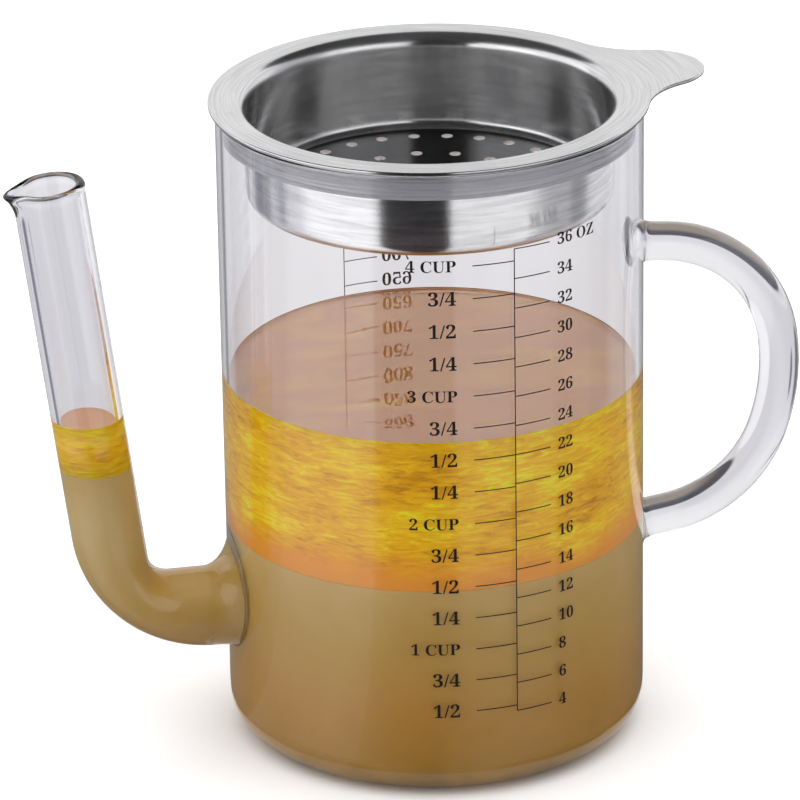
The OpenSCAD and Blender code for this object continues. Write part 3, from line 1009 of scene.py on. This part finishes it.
def makeSky(spec):
    # headings count from straight ahead of the camera, to the right
    world = bpy.data.worlds.new("studio")
    world.use_nodes = True
    tree = world.node_tree
    look = node(tree, "TexCoord").outputs["Generated"]
    parts = node(tree, "SeparateXYZ")
    link(tree, look, parts.inputs["Vector"])
    rise = node(tree, "MapRange")
    rise.inputs["From Min"].default_value = -1
    link(tree, parts.outputs["Z"], rise.inputs["Value"])
    tone = ramp(tree, rise.outputs["Result"], [((z + 1) / 2, colour) for z, colour in spec["heights"]])
    flatten = node(tree, "VectorMath", operation="MULTIPLY")
    flatten.inputs[1].default_value = (1, 1, 0)
    link(tree, look, flatten.inputs[0])
    unit = node(tree, "VectorMath", operation="NORMALIZE")
    link(tree, flatten.outputs["Vector"], unit.inputs[0])
    level = unit.outputs["Vector"]
    for field in spec["fields"]:
        turn = Matrix.Rotation(-math.radians(field["heading"]), 2)
        height = math.radians(field.get("height", 0))
        flat = turn @ -toCamera * math.cos(height)
        dot = node(tree, "VectorMath", operation="DOT_PRODUCT")
        dot.inputs[1].default_value = (flat.x, flat.y, math.sin(height))
        link(tree, look if "height" in field else level, dot.inputs[0])
        share = node(tree, "MapRange", interpolation_type="SMOOTHSTEP")
        share.inputs["From Min"].default_value = math.cos(math.radians(field["size"] + field["soft"]))
        share.inputs["From Max"].default_value = math.cos(math.radians(field["size"] - field["soft"]))
        link(tree, dot.outputs["Value"], share.inputs["Value"])
        mix = node(tree, "Mix", data_type="RGBA")
        link(tree, share.outputs["Result"], mix.inputs["Factor"])
        link(tree, tone, mix.inputs[6])
        mix.inputs[7].default_value = (*field["tone"], 1)
        tone = mix.outputs[2]
    link(tree, tone, tree.nodes["Background"].inputs["Color"])
    scene.world = world


def addCard(name, bm, tone, glow=(0, 0, 0)):
    # stage only: mirrors see it, nothing else does
    mesh = bpy.data.meshes.new(name)
    bm.to_mesh(mesh)
    bm.free()
    card = addObject(name, mesh)
    material, tree, shader = newMaterial(name)
    shader.inputs["Base Color"].default_value = (tone, tone, tone, 1)
    shader.inputs["Roughness"].default_value = 1
    shader.inputs["Specular IOR Level"].default_value = 0
    shader.inputs["Emission Color"].default_value = (*glow, 1)
    shader.inputs["Emission Strength"].default_value = 1
    mesh.materials.append(material)
    card.visible_camera = False
    card.visible_diffuse = False
    card.visible_shadow = False
    card.visible_transmission = False
    return card


def makeCard(spec):
    # a black card between the part and the camera, low down and seen only in mirrors
    bm = bmesh.new()
    ends = []
    for angle in spec["cardAngles"]:
        turned = math.radians(angle)
        flat = Matrix.Rotation(turned, 2) @ toCamera * spec["cardAway"] / math.cos(turned)
        ends.append(bm.verts.new((flat.x, flat.y, 1 * mm)))
    out = bmesh.ops.extrude_edge_only(bm, edges=[bm.edges.new(ends)])["geom"]
    tops = [g for g in out if isinstance(g, bmesh.types.BMVert)]
    bmesh.ops.translate(bm, verts=tops, vec=(0, 0, spec["cardTall"] - 1 * mm))
    addCard("studio_card", bm, spec["cardTone"])


def makeCanopy(spec):
    # a black canopy over the part, seen only in mirrors: it draws the dark line round the strainer's mouth
    bm = bmesh.new()
    bmesh.ops.create_circle(bm, cap_ends=True, segments=48, radius=spec["canopyRadius"],
                            matrix=Matrix.Translation((0, 0, spec["canopyHeight"])))
    addCard("studio_canopy", bm, spec["canopyTone"])


def makeFloorCards(spec):
    for i, (start, end, reach, tone) in enumerate(spec["floorCards"]):
        bm = bmesh.new()
        aside = Matrix.Rotation(math.radians(start), 2) @ toCamera
        near, far = aside * spec["floorCardsNear"], aside * reach
        ends = [bm.verts.new((p.x, p.y, spec["floorCardsLift"])) for p in (near, far)]
        edge = bm.edges.new(ends)
        bmesh.ops.spin(bm, geom=ends + [edge], cent=(0, 0, 0), axis=upright, dvec=(0, 0, 0),
                       angle=math.radians(end - start), steps=24, use_merge=False, use_duplicate=False)
        addCard(f"studio_floor_card_{i + 1}", bm, tone)


def makeSideCard(spec):
    start, end, away, low, high, tone = spec["sideCard"]
    bm = bmesh.new()
    place = Matrix.Rotation(math.radians(start), 2) @ toCamera * away
    ends = [bm.verts.new((place.x, place.y, z)) for z in (low, high)]
    edge = bm.edges.new(ends)
    bmesh.ops.spin(bm, geom=ends + [edge], cent=(0, 0, 0), axis=upright, dvec=(0, 0, 0),
                   angle=math.radians(end - start), steps=16, use_merge=False, use_duplicate=False)
    addCard("studio_side_card", bm, 0, tone)


def makeFootShade(spec):
    # the worktop in the jug's own shadow, as the base's clear glass shows it
    radius, height, tone = spec["footShade"]
    bm = bmesh.new()
    bmesh.ops.create_circle(bm, cap_ends=True, segments=48, radius=radius,
                            matrix=Matrix.Translation((0, 0, height)))
    shade = addCard("studio_foot_shade", bm, 0, tone)
    shade.visible_glossy = False
    shade.visible_transmission = True


makeFloor(studio)
makeSky(studio)
makeSideCard(studio)
makeFootShade(studio)
makeFloorCards(studio)
makeCard(studio)
makeCanopy(studio)
scene.view_settings.view_transform = "Standard"
scene.cycles.transparent_max_bounces = 24
print("studio lit")
